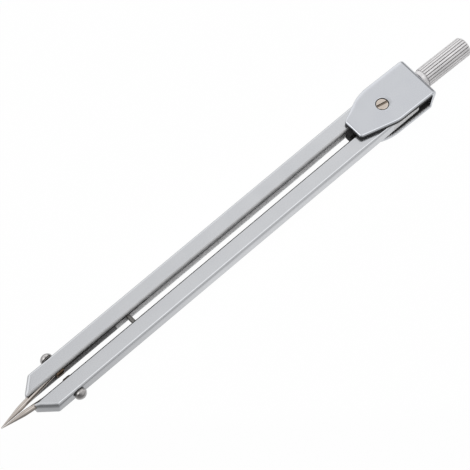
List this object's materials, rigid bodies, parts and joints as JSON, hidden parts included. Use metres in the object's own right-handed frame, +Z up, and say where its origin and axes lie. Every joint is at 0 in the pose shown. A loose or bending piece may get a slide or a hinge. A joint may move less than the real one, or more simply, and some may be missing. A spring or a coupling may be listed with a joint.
{
  "type": "dividers",
  "caption": "Slim draughting dividers with folded sheet legs on a friction pivot, a tapering yoke, a knurled handle and clamped steel needles for stepping off distances.",
  "frame": {"origin": "under the middle of the closed dividers' length and width, on the plane of the yoke's rear cheek, which they lie on", "axes": "+X along the length from the needle points to the handle, +Y towards the left leg, +Z up out of the front cheek"},
  "size_m": [0.172, 0.0166, 0.0075],
  "materials": {
    "plated_sheet": "satin nickel and chrome plate on folded sheet",
    "knurled_handle": "plated, straight knurled",
    "nickel_silver": "turned, warm white metal",
    "plated_screw": "turned and polished",
    "needle_steel": "ground and polished",
    "dark_steel": "blackened",
    "dark_brass": "tarnished",
    "black_fibre": "black fibre sheet",
    "black_plastic": "moulded black plastic"
  },
  "bodies": {
    "head": {"head_yoke": "plated_sheet", "handle_grip": "knurled_handle", "handle_washer": "nickel_silver", "pivot_nut": "nickel_silver", "pivot_bush": "nickel_silver", "spring_washer": "dark_steel", "front_friction_liner": "black_fibre", "rear_friction_liner": "black_fibre", "hinge_core": "black_plastic"},
    "pivot_screw": {"pivot_screw": "nickel_silver"},
    "left_arm": {"left_leg": "plated_sheet", "left_needle_holder": "dark_steel", "left_clamp_block": "dark_brass", "left_clamp_washer": "dark_steel", "stop_post": "dark_steel"},
    "right_arm": {"right_leg": "plated_sheet", "right_needle_holder": "dark_steel", "right_clamp_block": "dark_brass", "right_clamp_washer": "dark_steel"},
    "left_clamp_screw": {"left_clamp_screw": "plated_screw"},
    "right_clamp_screw": {"right_clamp_screw": "plated_screw"},
    "left_needle": {"left_needle": "needle_steel"},
    "right_needle": {"right_needle": "needle_steel"}
  },
  "joints": [
    {"name": "left_leg_open", "type": "hinge", "parent": "head", "child": "left_arm", "pos_m": [0.05397, 0, 0.0038], "axis": [0, 0, -1], "range_deg": [0, 60]},
    {"name": "right_leg_open", "type": "hinge", "parent": "head", "child": "right_arm", "pos_m": [0.05397, 0, 0.0038], "axis": [0, 0, 1], "range_deg": [0, 60]},
    {"name": "pivot_screw_turn", "type": "hinge", "parent": "head", "child": "pivot_screw", "pos_m": [0.05397, 0, 0.0038], "axis": [0, 0, 1], "range_deg": [-90, 90]},
    {"name": "left_clamp_turn", "type": "hinge", "parent": "left_arm", "child": "left_clamp_screw", "pos_m": [-0.06423, 0.0063, 0.0038], "axis": [0, 1, 0], "range_deg": [0, 270]},
    {"name": "right_clamp_turn", "type": "hinge", "parent": "right_arm", "child": "right_clamp_screw", "pos_m": [-0.06423, -0.0063, 0.0038], "axis": [0, -1, 0], "range_deg": [0, 270]},
    {"name": "left_needle_slide", "type": "slide", "parent": "left_arm", "child": "left_needle", "axis": [0.9936, 0.113, 0], "range_m": [0, 0.006]},
    {"name": "right_needle_slide", "type": "slide", "parent": "right_arm", "child": "right_needle", "axis": [0.9936, -0.113, 0], "range_m": [0, 0.006]}
  ]
}
